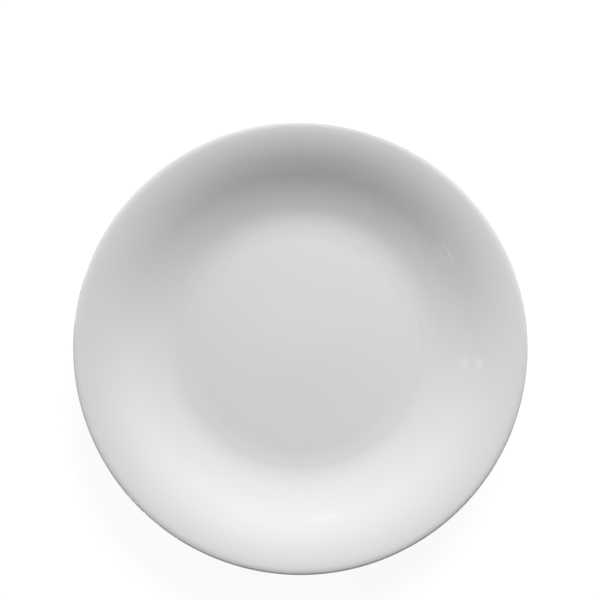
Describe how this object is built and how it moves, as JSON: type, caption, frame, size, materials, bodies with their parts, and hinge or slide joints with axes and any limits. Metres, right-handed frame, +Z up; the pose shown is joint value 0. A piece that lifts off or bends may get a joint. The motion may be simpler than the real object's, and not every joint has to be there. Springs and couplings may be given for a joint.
{
  "type": "flat plate",
  "caption": "Round white glazed porcelain plate with a flat well, a softly curved flank running up to a rolled rim, and a bare foot ring, for serving and eating food.",
  "frame": {"origin": "middle of the plate, at the level of the foot ring's standing face", "axes": "+Z up along the plate's axis of revolution; X and Y are any two square directions across it"},
  "size_m": [0.27, 0.27, 0.028],
  "materials": {
    "porcelain": "bare fired porcelain, matt and fine-grained, wiped free of glaze on the standing face",
    "glaze": "clear glaze over white porcelain, smooth and glossy",
    "recess_glaze": "clear glaze over white porcelain, glossy with slight ripples"
  },
  "bodies": {
    "root": {"porcelain_body": "porcelain", "glaze_coat": "glaze", "foot_recess_glaze": "recess_glaze"}
  },
  "joints": []
}
